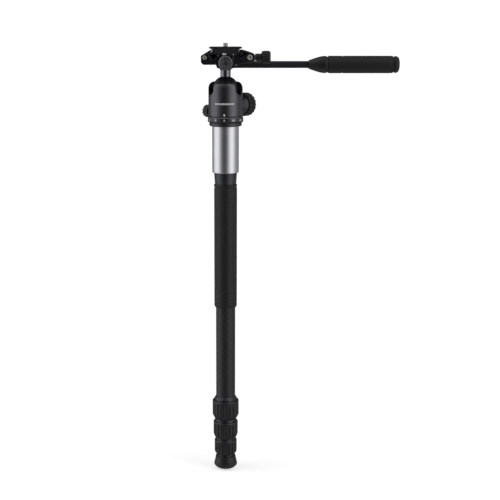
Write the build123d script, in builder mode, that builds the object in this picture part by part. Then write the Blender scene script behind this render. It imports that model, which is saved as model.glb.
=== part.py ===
from build123d import *
from math import cos, radians, sin, sqrt
import os

os.makedirs("parts", exist_ok=True)

# A telescoping monopod with a ball head, a quick-release clamp and a pan handle.
# Millimetres. The foot stands on z = 0, +Z runs up the leg's axis, -Y is the front and
# the handle points along +X. The leg is drawn closed, as it is carried.

# Clearances
RUNNING = 0.05  # radial, a shaft in its own hole
APART = 0.3  # between pieces that pass each other
TUBE_STEP = 1.5  # from one tube's outside to the next one's
TUBE_WALL = 1.0

# Leg, widest tube first
TUBE_RADII = [13.0 - TUBE_STEP * n for n in range(4)]
TUBE_TOPS = [462.0, 452.0, 446.0, 440.0]
SHIM_LENGTH = 38.0

# Twist locks, top one first
LOCK_BOTTOM = [72.6, 45.0, 21.0]
LOCK_FULL = [78.8, 50.8, 25.7]  # where the taper reaches the full radius
LOCK_TOP = [99.0, 68.9, 42.4]
SHOULDER_TOP = [104.6, 72.3, 44.7]
SHOULDER_BEVEL = [(2.1, 3.3), (0.5, 0.5), (0.5, 0.5)]
SHOULDER_RADIUS = [15.4, 14.6, 13.4]
LOCK_RADIUS = [17.95, 16.7, 15.25]
LOCK_END_RADIUS = [15.0, 14.4, 12.6]
COVER = 1.3  # rubber over the ring
THREAD_WALL = 1.6  # the threaded sleeve on the tube's end
TUBE_END_UP = 7.4  # the tube's end above the lock's bottom
RIM = 1.8  # bare metal at the ring's top
FLUTES = 20
FLUTE_RADIUS = 1.7
FLUTE_OUT = 1.0

# Foot
FOOT_TOP = 19.0
FOOT_TOP_RADIUS = 13.5
FOOT_WIDE_RADIUS = 15.8
FOOT_WIDE_HEIGHT = 7.3
FOOT_FLAT_RADIUS = 4.0
STUD_RADIUS = 4.76  # 3/8 inch thread

# Grip, neck and collar
GRIP_BOTTOM, GRIP_TOP, GRIP_RADIUS = 230.0, 396.2, 15.2
NECK_TOP = 411.5
COLLAR_BOTTOM, COLLAR_TOP, COLLAR_RADIUS, COLLAR_WALL = 411.6, 472.9, 17.6, 1.6

# Pan base and ball housing
BASE_RADIUS, BASE_STEP = 21.3, 477.7
SEAT_RADIUS, SEAT_TOP = 20.2, 485.2
SPIGOT_RADIUS, SPIGOT_TOP = 12.0, 495.2
HOUSING_RADIUS, HOUSING_BOTTOM, HOUSING_TOP = 22.4, 485.6, 530.3
BALL_RADIUS, BALL_HEIGHT = 17.0, 520.9
STEM_RADIUS = 6.7
CAVITY_RADIUS, CAVITY_FLOOR = 18.6, 504.7
WELL_RADIUS, WELL_FLOOR = 10.4, 495.6
HOUSING_YAW = -4.3  # the index stands a little left of the front
NOTCH_ANGLE, NOTCH_RADIUS = 60.7, 7.7
MAIN_AZIMUTH, MAIN_HEIGHT, MAIN_RADIUS, MAIN_SPINDLE = 140.0, 499.2, 15.6, 3.0
PAN_AZIMUTH, PAN_HEIGHT, PAN_RADIUS, PAN_SPINDLE = -140.0, 490.6, 8.4, 2.5
MAIN_END, PAN_END = 46.2, 40.0  # the knobs' outer faces, from the leg's axis

# Clamp, plate and camera screw
CLAMP_HALF_DEPTH = 22.0
CLAMP_BOTTOM, CLAMP_FLOOR, CLAMP_LIP = 552.3, 566.2, 571.2
CLAMP_LEFT, CLAMP_SPLIT, JAW_RIGHT = -31.6, 10.0, 38.3
LIP_REACH, LIP_ROOT = 17.2, 19.4
SCREW_HEIGHT = 561.5
CLAMP_SCREW, GUIDE_PIN, GUIDE_SPREAD = 2.5, 2.0, 14.0
CLAMP_KNOB_RADIUS, CLAMP_SHAFT_RADIUS = 8.4, 4.6
KNOB_START, KNOB_END = 46.5, 58.9
PLATE_TOP, PLATE_HALF_WIDTH, PLATE_HALF_LENGTH = 575.2, 21.8, 20.0
CAMERA_SCREW_RADIUS = 3.175  # 1/4 inch thread
CAMERA_SCREW_TOP = 579.9
CAMERA_NECK_RADIUS = 2.5  # waisted inside the plate, so that the plate keeps the screw
HUB_RADIUS, HUB_BOTTOM, HUB_FRONT, HUB_BACK = 12.5, 548.0, -22.6, 25.9
BOLT_HEIGHT, BOLT_RADIUS = 554.8, 3.0

# Handle
ARM_BACK, ARM_FRONT = 31.2, 26.2
ARM_BOTTOM, ARM_TOP = 547.0, 556.1
HANDLE_RADIUS = 11.45
FERRULE_START, GRIP_START, GRIP_END, HANDLE_END = 109.7, 135.3, 221.4, 230.2
CORE_RADIUS = 4.95
ARM_END = 215.0


def outline(plane, points):
    """A closed face on a plane, through points in the plane's own two directions."""
    with BuildSketch(plane) as face:
        with BuildLine():
            Polyline(*points, close=True)
        make_face()
    return face.sketch


def turn(points, origin=(0, 0, 0), direction=(0, 0, 1), side=(1, 0, 0), mode=Mode.ADD):
    """Revolve an outline of (radius, distance) points about a line through origin."""
    normal = Vector(*side).cross(Vector(*direction))
    plane = Plane(origin=origin, x_dir=side, z_dir=normal)
    revolve(outline(plane, points), axis=Axis(origin, direction), mode=mode)


def slab(points, front, back, mode=Mode.ADD):
    """Extrude an outline of (x, z) points from y = back to y = front."""
    extrude(outline(Plane.XZ.offset(-back), points), amount=back - front, mode=mode)


def rod(radius, origin, direction, length, mode=Mode.ADD):
    """A straight round rod, or with SUBTRACT a round hole."""
    with BuildSketch(Plane(origin=origin, z_dir=direction)) as face:
        Circle(radius)
    extrude(face.sketch, amount=length, mode=mode)


def flute(plane, count, centre_radius, radius, length):
    """Cut a ring of round grooves that run along the plane's normal."""
    with BuildSketch(plane) as face:
        with PolarLocations(centre_radius, count):
            Circle(radius)
    extrude(face.sketch, amount=length, mode=Mode.SUBTRACT)


def outward(azimuth):
    """The level direction at an azimuth counted from the front towards +X."""
    return (sin(radians(azimuth)), -cos(radians(azimuth)), 0)


def sideways(azimuth):
    """The level direction square to outward(azimuth)."""
    return (cos(radians(azimuth)), sin(radians(azimuth)), 0)


def reach(azimuth, height, distance):
    """The point at a distance from the leg's axis, at an azimuth and a height."""
    out = outward(azimuth)
    return (out[0] * distance, out[1] * distance, height)


def save(piece, label):
    piece.part.label = label
    export_step(piece.part, f"parts/{label}.step")


# ---------------------------------------------------------------- leg tubes
TUBE_BOTTOMS = [bottom + TUBE_END_UP for bottom in LOCK_BOTTOM] + [FOOT_TOP + 1.7]
for n in range(4):
    with BuildPart() as tube:
        with BuildSketch(Plane.XY.offset(TUBE_BOTTOMS[n])):
            Circle(TUBE_RADII[n])
            Circle(TUBE_RADII[n] - TUBE_WALL, mode=Mode.SUBTRACT)
        extrude(amount=TUBE_TOPS[n] - TUBE_BOTTOMS[n])
    save(tube, f"leg_tube_{n + 1}")

# Split guide shims round the inner tubes' tops, which run in the next tube's bore
for n in range(1, 4):
    with BuildPart() as shims:
        with BuildSketch(Plane.XY.offset(TUBE_TOPS[n] - SHIM_LENGTH - 2)):
            Circle(TUBE_RADII[n - 1] - TUBE_WALL - RUNNING)
            Circle(TUBE_RADII[n], mode=Mode.SUBTRACT)
            Rectangle(4 * TUBE_RADII[n], 1.5, mode=Mode.SUBTRACT)
        extrude(amount=SHIM_LENGTH)
    save(shims, f"guide_shims_{n + 1}")


# ---------------------------------------------------------------- twist locks
def lock_sleeve(n):
    """The threaded sleeve bonded to a tube's lower end, with its shoulder above the ring."""
    tube, top = TUBE_RADII[n], LOCK_TOP[n]
    thread, shoulder = tube + THREAD_WALL, SHOULDER_RADIUS[n]
    inset, drop = SHOULDER_BEVEL[n]
    with BuildPart() as sleeve:
        turn([
            (tube, TUBE_BOTTOMS[n]), (thread, TUBE_BOTTOMS[n]), (thread, top - 1.0),
            (shoulder, top - 1.0), (shoulder, SHOULDER_TOP[n] - drop),
            (shoulder - inset, SHOULDER_TOP[n]), (tube, SHOULDER_TOP[n]),
        ])
    return sleeve


def lock_collet(n):
    """The split plastic collet that the ring squeezes on the inner tube."""
    tube, inner, low = TUBE_RADII[n], TUBE_RADII[n + 1], LOCK_BOTTOM[n]
    end, skirt = TUBE_BOTTOMS[n], TUBE_RADII[n] - TUBE_WALL - 0.02
    with BuildPart() as collet:
        turn([
            (inner + RUNNING, low + 2.7), (inner + 1.4, low + 2.7), (tube + 1.1, low + 5.9),
            (tube + 1.1, end), (skirt, end), (skirt, end + 14), (inner + RUNNING, end + 14),
        ])
        with BuildSketch(Plane.XY.offset(low)):
            with Locations((0, tube)):
                Rectangle(1.6, 2 * tube)
        extrude(amount=TUBE_END_UP + 20, mode=Mode.SUBTRACT)
    return collet


def lock_ring(n):
    """The ring that screws on the sleeve, with a bare rim above its rubber cover."""
    inner, low, top = TUBE_RADII[n + 1], LOCK_BOTTOM[n], LOCK_TOP[n]
    core, bore = LOCK_RADIUS[n] - COVER, TUBE_RADII[n] + THREAD_WALL + RUNNING
    rim, mouth = LOCK_RADIUS[n] - 0.1, SHOULDER_RADIUS[n] + 0.8
    with BuildPart() as ring:
        turn([
            (inner + 0.4, low), (LOCK_END_RADIUS[n] - 1.2, low), (core, LOCK_FULL[n]),
            (core, top - RIM), (rim, top - RIM), (rim, top - 0.8), (rim - 0.8, top),
            (mouth, top), (mouth, top - 1.3), (bore, top - 1.3), (bore, low + 5.8),
            (inner + 1.8, low + 2.3), (inner + 0.4, low + 2.3),
        ])
    return ring


def lock_cover(n):
    """The fluted rubber band on the ring."""
    low, full, top = LOCK_BOTTOM[n], LOCK_FULL[n], LOCK_TOP[n]
    radius, end, core = LOCK_RADIUS[n], LOCK_END_RADIUS[n], LOCK_RADIUS[n] - COVER
    with BuildPart() as cover:
        turn([
            (end - 1.2, low), (end - 0.3, low), (end, low + 0.4),
            (radius - 0.8, full - 1.9), (radius, full), (radius, top - RIM),
            (core, top - RIM), (core, full),
        ])
        flute(Plane.XY.offset(low + 2.4), FLUTES, radius + FLUTE_OUT, FLUTE_RADIUS,
              top - RIM - 1.0 - low - 2.4)
    return cover


for n in range(3):
    save(lock_sleeve(n), f"lock_sleeve_{n + 1}")
    save(lock_collet(n), f"lock_collet_{n + 1}")
    save(lock_ring(n), f"lock_ring_{n + 1}")
    save(lock_cover(n), f"lock_cover_{n + 1}")

# ---------------------------------------------------------------- foot
HEAD_LOW, HEAD_HIGH, HEAD_RADIUS = 6.0, 9.0, 7.5
with BuildPart() as foot_stud:
    turn([
        (0, HEAD_LOW), (HEAD_RADIUS, HEAD_LOW), (HEAD_RADIUS, HEAD_HIGH),
        (STUD_RADIUS, HEAD_HIGH), (STUD_RADIUS, 39.9), (0, 39.9),
    ])
save(foot_stud, "foot_stud")

with BuildPart() as foot_plug:
    inside = TUBE_RADII[3] - TUBE_WALL
    turn([
        (STUD_RADIUS, FOOT_TOP + 0.05), (11.6, FOOT_TOP + 0.05), (11.6, TUBE_BOTTOMS[3]),
        (inside, TUBE_BOTTOMS[3]), (inside, 45), (0, 45), (0, 40), (STUD_RADIUS, 40),
    ])
save(foot_plug, "foot_plug")

with BuildPart() as foot_rubber:
    with BuildSketch(Plane.XZ):
        with BuildLine():
            Line((0, 0), (FOOT_FLAT_RADIUS, 0))
            ThreePointArc((FOOT_FLAT_RADIUS, 0), (11.6, 2.0), (15.0, 5.0))
            ThreePointArc((15.0, 5.0), (15.65, 6.0), (FOOT_WIDE_RADIUS, FOOT_WIDE_HEIGHT))
            Polyline(
                (FOOT_WIDE_RADIUS, FOOT_WIDE_HEIGHT), (FOOT_TOP_RADIUS, FOOT_TOP - 0.5),
                (FOOT_TOP_RADIUS - 0.5, FOOT_TOP), (STUD_RADIUS + 0.02, FOOT_TOP),
                (STUD_RADIUS + 0.02, HEAD_HIGH + 0.02), (HEAD_RADIUS + 0.02, HEAD_HIGH + 0.02),
                (HEAD_RADIUS + 0.02, HEAD_LOW - 0.02), (0, HEAD_LOW - 0.02), (0, 0),
            )
        make_face()
    revolve(axis=Axis.Z)
save(foot_rubber, "foot_rubber")

# ---------------------------------------------------------------- grip, neck and collar
with BuildPart() as grip_sleeve:
    inside, body = TUBE_RADII[0] + 0.02, GRIP_RADIUS
    turn([
        (inside, GRIP_BOTTOM), (body - 0.5, GRIP_BOTTOM), (body - 0.5, 231.6),
        (body + 0.1, 232.2), (body + 0.1, 234.4), (body - 0.5, 235.0), (body - 0.5, 235.9),
        (body, 236.6), (body, 390.9), (body - 0.6, 391.4), (body - 0.6, 392.5),
        (body + 0.1, 393.1), (body + 0.1, 395.2), (body - 0.6, GRIP_TOP), (inside, GRIP_TOP),
    ])
save(grip_sleeve, "grip_sleeve")

with BuildPart() as neck_cone:
    inside = TUBE_RADII[0] + 0.02
    turn([
        (inside, GRIP_TOP + 0.1), (14.15, GRIP_TOP + 0.1), (15.2, NECK_TOP), (inside, NECK_TOP),
    ])
save(neck_cone, "neck_cone")

with BuildPart() as silver_collar:
    inside = COLLAR_RADIUS - COLLAR_WALL
    turn([
        (inside, COLLAR_BOTTOM), (COLLAR_RADIUS - 0.4, COLLAR_BOTTOM),
        (COLLAR_RADIUS, COLLAR_BOTTOM + 0.4), (COLLAR_RADIUS, COLLAR_TOP - 0.3),
        (COLLAR_RADIUS - 0.3, COLLAR_TOP), (inside, COLLAR_TOP),
    ])
save(silver_collar, "silver_collar")

with BuildPart() as collar_core:
    inside, outside, hole = TUBE_RADII[0] + 0.01, COLLAR_RADIUS - COLLAR_WALL - 0.02, STUD_RADIUS + 0.02
    turn([
        (inside, COLLAR_BOTTOM + 0.4), (outside, COLLAR_BOTTOM + 0.4), (outside, COLLAR_TOP - 0.1),
        (hole, COLLAR_TOP - 0.1), (hole, TUBE_TOPS[0] + 0.2), (inside, TUBE_TOPS[0] + 0.2),
    ])
save(collar_core, "collar_core")

with BuildPart() as head_stud:
    rod(STUD_RADIUS, (0, 0, TUBE_TOPS[0] + 0.4), (0, 0, 1), 19.6)
    with BuildSketch(Plane.XY.offset(TUBE_TOPS[0] + 20)):
        RegularPolygon(2.5, 6)
    extrude(amount=-4, mode=Mode.SUBTRACT)
save(head_stud, "head_stud")

# ---------------------------------------------------------------- pan base
with BuildPart() as pan_base:
    hole = STUD_RADIUS + 0.02
    turn([
        (hole, COLLAR_TOP), (BASE_RADIUS - 0.7, COLLAR_TOP), (BASE_RADIUS, COLLAR_TOP + 0.7),
        (BASE_RADIUS, BASE_STEP - 0.3), (BASE_RADIUS - 0.3, BASE_STEP), (SEAT_RADIUS, BASE_STEP),
        (SEAT_RADIUS, SEAT_TOP), (SPIGOT_RADIUS, SEAT_TOP), (SPIGOT_RADIUS, SPIGOT_TOP - 0.5),
        (SPIGOT_RADIUS - 0.5, SPIGOT_TOP), (0, SPIGOT_TOP), (0, 484), (hole, 484),
    ])
save(pan_base, "pan_base")

with BuildPart() as pan_scale_ring:
    inside = SEAT_RADIUS + 0.02
    turn([
        (inside, BASE_STEP + 0.3), (22.7, BASE_STEP + 0.3), (23.45, BASE_STEP + 1.9),
        (23.45, BASE_STEP + 2.8), (22.9, SEAT_TOP - 0.3), (22.6, SEAT_TOP), (inside, SEAT_TOP),
    ])
save(pan_scale_ring, "pan_scale_ring")

with BuildPart() as pan_washer:
    turn([(13.2, SEAT_TOP), (19.6, SEAT_TOP), (19.6, SEAT_TOP + 0.3), (13.2, SEAT_TOP + 0.3)])
save(pan_washer, "pan_washer")

# ---------------------------------------------------------------- ball housing
with BuildPart() as housing:
    socket = BALL_RADIUS + APART
    mouth = 14.45
    mouth_height = BALL_HEIGHT + sqrt(socket**2 - mouth**2)
    socket_middle = (socket * cos(radians(17)), BALL_HEIGHT + socket * sin(radians(17)))
    bore = SPIGOT_RADIUS + APART
    shoulder_low, shoulder_middle = (HOUSING_RADIUS, 520.5), (21.5, 525.9)
    shoulder_high = (18.6, 529.5)
    with BuildSketch(Plane.XZ):
        with BuildLine():
            Polyline(
                (bore, HOUSING_BOTTOM), (HOUSING_RADIUS - 0.4, HOUSING_BOTTOM),
                (HOUSING_RADIUS, HOUSING_BOTTOM + 0.4), shoulder_low,
            )
            ThreePointArc(shoulder_low, shoulder_middle, shoulder_high)
            Polyline(shoulder_high, (mouth + 0.5, HOUSING_TOP), (mouth, mouth_height))
            ThreePointArc((mouth, mouth_height), socket_middle, (socket, BALL_HEIGHT))
            Polyline(
                (socket, BALL_HEIGHT), (CAVITY_RADIUS, BALL_HEIGHT), (CAVITY_RADIUS, CAVITY_FLOOR),
                (WELL_RADIUS, CAVITY_FLOOR), (WELL_RADIUS, WELL_FLOOR), (bore, WELL_FLOOR),
                (bore, HOUSING_BOTTOM),
            )
        make_face()
    revolve(axis=Axis.Z)
    # Two open-topped notches, so that the stem can lie level
    for side in (-1, 1):
        azimuth = HOUSING_YAW + side * NOTCH_ANGLE
        notch_plane = Plane(
            origin=reach(azimuth, BALL_HEIGHT, 11),
            x_dir=sideways(azimuth),
            z_dir=outward(azimuth),
        )
        with BuildSketch(notch_plane):
            Circle(NOTCH_RADIUS)
            with Locations(notch_plane.to_local_coords(Vector(*reach(azimuth, BALL_HEIGHT + 8, 11)))):
                Rectangle(2 * NOTCH_RADIUS, 16)
        extrude(amount=14, mode=Mode.SUBTRACT)
    rod(MAIN_SPINDLE + RUNNING, reach(MAIN_AZIMUTH, MAIN_HEIGHT, 9), outward(MAIN_AZIMUTH), 16,
        mode=Mode.SUBTRACT)
    rod(PAN_SPINDLE + RUNNING, reach(PAN_AZIMUTH, PAN_HEIGHT, 11), outward(PAN_AZIMUTH), 14,
        mode=Mode.SUBTRACT)
save(housing, "housing")

with BuildPart() as pan_shoe:
    rod(PAN_SPINDLE - 0.02, reach(PAN_AZIMUTH, PAN_HEIGHT, 12.45), outward(PAN_AZIMUTH), 2.5)
save(pan_shoe, "pan_shoe")

with BuildPart() as ball_cup:
    seat = BALL_RADIUS + RUNNING
    cup_top, drain = 516.0, 6.0
    top_radius = sqrt(seat**2 - (BALL_HEIGHT - cup_top) ** 2)
    low_height = BALL_HEIGHT - sqrt(seat**2 - drain**2)
    middle = (12.5, BALL_HEIGHT - sqrt(seat**2 - 12.5**2))
    outside = CAVITY_RADIUS - APART
    with BuildSketch(Plane.XZ):
        with BuildLine():
            Polyline(
                (drain, low_height), (drain, 503.2), (9, 503.2), (9, CAVITY_FLOOR + 0.3),
                (outside, CAVITY_FLOOR + 0.3), (outside, cup_top), (top_radius, cup_top),
            )
            ThreePointArc((top_radius, cup_top), middle, (drain, low_height))
        make_face()
    revolve(axis=Axis.Z)
save(ball_cup, "ball_cup")

with BuildPart() as wedge_plunger:
    with BuildSketch(Plane.XY.offset(WELL_FLOOR + 0.7)):
        Circle(8.5)
    extrude(amount=6.5)
    chamfer(wedge_plunger.edges().group_by(Axis.Z)[-1], length=1.0)
save(wedge_plunger, "wedge_plunger")

# ---------------------------------------------------------------- ball and stem
STEM_FOOT = BALL_HEIGHT + sqrt(BALL_RADIUS**2 - STEM_RADIUS**2)
with BuildPart() as ball:
    with BuildSketch(Plane.XZ):
        with BuildLine():
            ThreePointArc(
                (0, BALL_HEIGHT - BALL_RADIUS), (BALL_RADIUS, BALL_HEIGHT), (STEM_RADIUS, STEM_FOOT)
            )
            Polyline(
                (STEM_RADIUS, STEM_FOOT), (4.5, STEM_FOOT), (4.5, 526), (0, 526),
                (0, BALL_HEIGHT - BALL_RADIUS),
            )
        make_face()
    revolve(axis=Axis.Z)
save(ball, "ball")

with BuildPart() as ball_stem:
    turn([
        (0, 526.05), (4.48, 526.05), (4.48, STEM_FOOT + 0.02), (STEM_RADIUS, STEM_FOOT + 0.02),
        (STEM_RADIUS, 545.0), (9.0, 547.5), (9.0, HUB_BOTTOM - 0.1), (4.0, HUB_BOTTOM - 0.1),
        (4.0, 550.9), (0, 550.9),
    ])
save(ball_stem, "ball_stem")

# ---------------------------------------------------------------- head knobs
MAIN_LINE = dict(origin=(0, 0, MAIN_HEIGHT), direction=outward(MAIN_AZIMUTH), side=sideways(MAIN_AZIMUTH))
PAN_LINE = dict(origin=(0, 0, PAN_HEIGHT), direction=outward(PAN_AZIMUTH), side=sideways(PAN_AZIMUTH))

with BuildPart() as main_spindle:
    rod(MAIN_SPINDLE, reach(MAIN_AZIMUTH, MAIN_HEIGHT, 9.6), outward(MAIN_AZIMUTH), 28.4)
save(main_spindle, "main_spindle")

with BuildPart() as main_knob_core:
    bore, rim = MAIN_SPINDLE + 0.01, MAIN_RADIUS - 2.4
    turn([
        (bore, 23.2), (7.5, 23.2), (8.2, 24.0), (rim, 31.6), (rim, MAIN_END - 1.8),
        (rim - 0.8, MAIN_END - 1.0), (0, MAIN_END - 1.0), (0, 38.1), (bore, 38.1),
    ], **MAIN_LINE)
save(main_knob_core, "main_knob_core")

with BuildPart() as main_knob_rubber:
    inside = MAIN_RADIUS - 2.38
    turn([
        (inside, 31.7), (MAIN_RADIUS - 0.9, 31.7), (MAIN_RADIUS, 32.6),
        (MAIN_RADIUS, MAIN_END - 1.4), (MAIN_RADIUS - 1.2, MAIN_END), (inside - 0.62, MAIN_END),
        (inside - 0.62, MAIN_END - 0.95), (inside, MAIN_END - 1.7),
    ], **MAIN_LINE)
    start = Plane(
        origin=reach(MAIN_AZIMUTH, MAIN_HEIGHT, 33.4),
        x_dir=sideways(MAIN_AZIMUTH), z_dir=outward(MAIN_AZIMUTH),
    )
    flute(start, 18, MAIN_RADIUS + 0.9, 1.6, 13)
save(main_knob_rubber, "main_knob_rubber")

with BuildPart() as pan_knob:
    rod(PAN_SPINDLE, reach(PAN_AZIMUTH, PAN_HEIGHT, 15.2), outward(PAN_AZIMUTH), 16)
    turn([
        (0, 23.4), (4.6, 23.4), (4.6, 27.8), (PAN_RADIUS - 0.8, 28.4), (PAN_RADIUS, 29.4),
        (PAN_RADIUS, PAN_END - 1.4), (PAN_RADIUS - 1.4, PAN_END), (0, PAN_END),
    ], **PAN_LINE)
    start = Plane(
        origin=reach(PAN_AZIMUTH, PAN_HEIGHT, 29.6),
        x_dir=sideways(PAN_AZIMUTH), z_dir=outward(PAN_AZIMUTH),
    )
    flute(start, 12, PAN_RADIUS + 0.7, 1.3, 12)
save(pan_knob, "pan_knob")

# ---------------------------------------------------------------- clamp
POCKET_DEPTH = 5.0
with BuildPart() as clamp_body:
    depth = CLAMP_HALF_DEPTH
    slab([
        (CLAMP_LEFT, CLAMP_BOTTOM + 3), (CLAMP_LEFT + 3, CLAMP_BOTTOM), (CLAMP_SPLIT, CLAMP_BOTTOM),
        (CLAMP_SPLIT, CLAMP_FLOOR), (-LIP_ROOT, CLAMP_FLOOR), (-LIP_ROOT, CLAMP_LIP - 3),
        (-LIP_REACH, CLAMP_LIP - 0.8), (-LIP_REACH, CLAMP_LIP), (-LIP_ROOT, CLAMP_LIP),
        (CLAMP_LEFT, 563.7),
    ], -depth, depth)
    # The hub under the plate, which the stem and the handle's bolt enter
    rod(HUB_RADIUS, (0, HUB_BACK, BOLT_HEIGHT), (0, -1, 0), HUB_BACK - HUB_FRONT)
    slab([(-20, 530), (20, 530), (20, HUB_BOTTOM), (-20, HUB_BOTTOM)], -30, 30, mode=Mode.SUBTRACT)
    slab([
        (CLAMP_SPLIT, CLAMP_BOTTOM - 0.4), (20, CLAMP_BOTTOM - 0.4), (20, 575), (CLAMP_SPLIT, 575),
    ], -30, 30, mode=Mode.SUBTRACT)
    slab([
        (-LIP_ROOT, CLAMP_FLOOR), (20, CLAMP_FLOOR), (20, 575), (-LIP_REACH, 575),
        (-LIP_REACH, CLAMP_LIP - 0.8), (-LIP_ROOT, CLAMP_LIP - 3),
    ], -30, 30, mode=Mode.SUBTRACT)
    # Pockets in the front and back faces
    left_pocket = [
        (-22.8, 567.4), (-21.0, 567.4), (-21.0, 565.0), (-11.6, 565.0), (-12.4, 562.0),
        (-14.0, 559.2), (-17.6, 559.2),
    ]
    slab(left_pocket, -depth - 1, -depth + POCKET_DEPTH, mode=Mode.SUBTRACT)
    slab(left_pocket, depth - POCKET_DEPTH, depth + 1, mode=Mode.SUBTRACT)
    # Bores for the stem, the bolt, the guide pins and the clamp screw
    rod(4.0 + RUNNING, (0, 0, HUB_BOTTOM - 1), (0, 0, 1), 4, mode=Mode.SUBTRACT)
    rod(BOLT_RADIUS + RUNNING, (0, 30, BOLT_HEIGHT), (0, -1, 0), 60, mode=Mode.SUBTRACT)
    for y in (-GUIDE_SPREAD, GUIDE_SPREAD):
        rod(GUIDE_PIN + RUNNING, (-6, y, SCREW_HEIGHT), (1, 0, 0), 20, mode=Mode.SUBTRACT)
    rod(CLAMP_SCREW + RUNNING, (-14, 0, SCREW_HEIGHT), (1, 0, 0), 30, mode=Mode.SUBTRACT)
    # Recesses in the floor for the plate's stop screws
    for y in (-1, 1):
        with BuildSketch(Plane.XY.offset(CLAMP_FLOOR)):
            with Locations((-8, y * 16.5)):
                Rectangle(5, 12)
        extrude(amount=-1.6, mode=Mode.SUBTRACT)
    rod(2.85, (-26.8, -depth, 561.6), (0, 1, 0), 9, mode=Mode.SUBTRACT)
save(clamp_body, "clamp_body")

with BuildPart() as clamp_jaw:
    slab([
        (CLAMP_SPLIT + APART, CLAMP_BOTTOM), (13.9, CLAMP_BOTTOM + 0.2), (25.8, 554.2),
        (35.6, 556.2), (JAW_RIGHT, 558.6), (JAW_RIGHT, 564.4), (36.1, 566.7), (30.7, 568.7),
        (22.4, CLAMP_LIP), (LIP_REACH, CLAMP_LIP), (LIP_REACH, CLAMP_LIP - 0.8),
        (LIP_ROOT, CLAMP_LIP - 3), (LIP_ROOT, CLAMP_FLOOR), (CLAMP_SPLIT + APART, CLAMP_FLOOR),
    ], -depth, depth)
    right_pocket = [
        (14.4, 565.0), (14.4, 564.2), (19.9, 561.2), (27.2, 564.8), (28.4, 566.8), (26.0, 567.9),
        (21.6, 567.9), (21.6, 565.0),
    ]
    slab(right_pocket, -depth - 1, -depth + POCKET_DEPTH, mode=Mode.SUBTRACT)
    slab(right_pocket, depth - POCKET_DEPTH, depth + 1, mode=Mode.SUBTRACT)
    for y in (-GUIDE_SPREAD, GUIDE_SPREAD):
        rod(GUIDE_PIN, (5, y, SCREW_HEIGHT), (1, 0, 0), 23, mode=Mode.SUBTRACT)
    rod(CLAMP_SCREW + RUNNING, (5, 0, SCREW_HEIGHT), (1, 0, 0), 40, mode=Mode.SUBTRACT)
    rod(3.55, (31.3, -depth, 561.8), (0, 1, 0), 5, mode=Mode.SUBTRACT)
save(clamp_jaw, "clamp_jaw")

with BuildPart() as jaw_guide_pins:
    for y in (-GUIDE_SPREAD, GUIDE_SPREAD):
        rod(GUIDE_PIN, (-5, y, SCREW_HEIGHT), (1, 0, 0), 33)
save(jaw_guide_pins, "jaw_guide_pins")

with BuildPart() as clamp_screw:
    rod(CLAMP_SCREW, (-13, 0, SCREW_HEIGHT), (1, 0, 0), JAW_RIGHT + 13.3)
    rod(CLAMP_SHAFT_RADIUS, (JAW_RIGHT + 0.2, 0, SCREW_HEIGHT), (1, 0, 0), KNOB_START - JAW_RIGHT - 0.2)
    rod(CLAMP_SCREW, (KNOB_START - 1, 0, SCREW_HEIGHT), (1, 0, 0), 10)
save(clamp_screw, "clamp_screw")

with BuildPart() as clamp_knob:
    radius, bore = CLAMP_KNOB_RADIUS, CLAMP_SCREW + 0.01
    turn([
        (bore, KNOB_START + 0.01), (radius - 1.6, KNOB_START + 0.01), (radius, KNOB_START + 1.6),
        (radius, KNOB_END - 1.6), (radius - 1.6, KNOB_END - 0.2), (0, KNOB_END),
        (0, KNOB_START + 9.1), (bore, KNOB_START + 9.1),
    ], origin=(0, 0, SCREW_HEIGHT), direction=(1, 0, 0), side=(0, 0, 1))
    start = Plane(origin=(KNOB_START + 1.6, 0, SCREW_HEIGHT), z_dir=(1, 0, 0))
    flute(start, 16, radius + 0.75, 1.2, KNOB_END - KNOB_START - 3.2)
save(clamp_knob, "clamp_knob")

with BuildPart() as clamp_cap_screw:
    rod(2.8, (-26.8, -depth - 0.4, 561.6), (0, 1, 0), 9.2)
    with BuildSketch(Plane.XZ.offset(depth + 0.4)):
        with Locations((-26.8, 561.6)):
            RegularPolygon(1.5, 6)
    extrude(amount=-2, mode=Mode.SUBTRACT)
save(clamp_cap_screw, "clamp_cap_screw")

with BuildPart() as jaw_cap_screw:
    rod(3.5, (31.3, -depth - 0.4, 561.8), (0, 1, 0), 5.2)
    with BuildSketch(Plane.XZ.offset(depth + 0.4)):
        with Locations((31.3, 561.8)):
            RegularPolygon(1.9, 6)
    extrude(amount=-2, mode=Mode.SUBTRACT)
save(jaw_cap_screw, "jaw_cap_screw")

# ---------------------------------------------------------------- quick-release plate
PLATE_BOTTOM = CLAMP_FLOOR + 0.1
PAD_DEPTH = 0.8
with BuildPart() as quick_plate:
    half = [
        (19.7, PLATE_TOP), (PLATE_HALF_WIDTH, 573.9), (PLATE_HALF_WIDTH, 573.5), (18.2, 572.2),
        (16.9, 571.7), (16.9, 570.2), (19.05, 568.0), (19.05, PLATE_BOTTOM),
    ]
    slab(half + [(-x, z) for x, z in reversed(half)], -PLATE_HALF_LENGTH, PLATE_HALF_LENGTH)
    # Recesses for the two rubber pads, then the camera screw's stepped hole
    with BuildSketch(Plane.XY.offset(PLATE_TOP)):
        with Locations((-11.5, 0), (11.5, 0)):
            RectangleRounded(11, 35, 2)
    extrude(amount=-PAD_DEPTH, mode=Mode.SUBTRACT)
    rod(CAMERA_SCREW_RADIUS + RUNNING, (0, 0, PLATE_BOTTOM - 1), (0, 0, 1), 12, mode=Mode.SUBTRACT)
    rod(8.0, (0, 0, PLATE_BOTTOM - 1), (0, 0, 1), 5.5, mode=Mode.SUBTRACT)
    for y in (-15.5, 15.5):
        rod(1.2, (-8, y, PLATE_BOTTOM - 1), (0, 0, 1), 5, mode=Mode.SUBTRACT)
save(quick_plate, "quick_plate")

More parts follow.
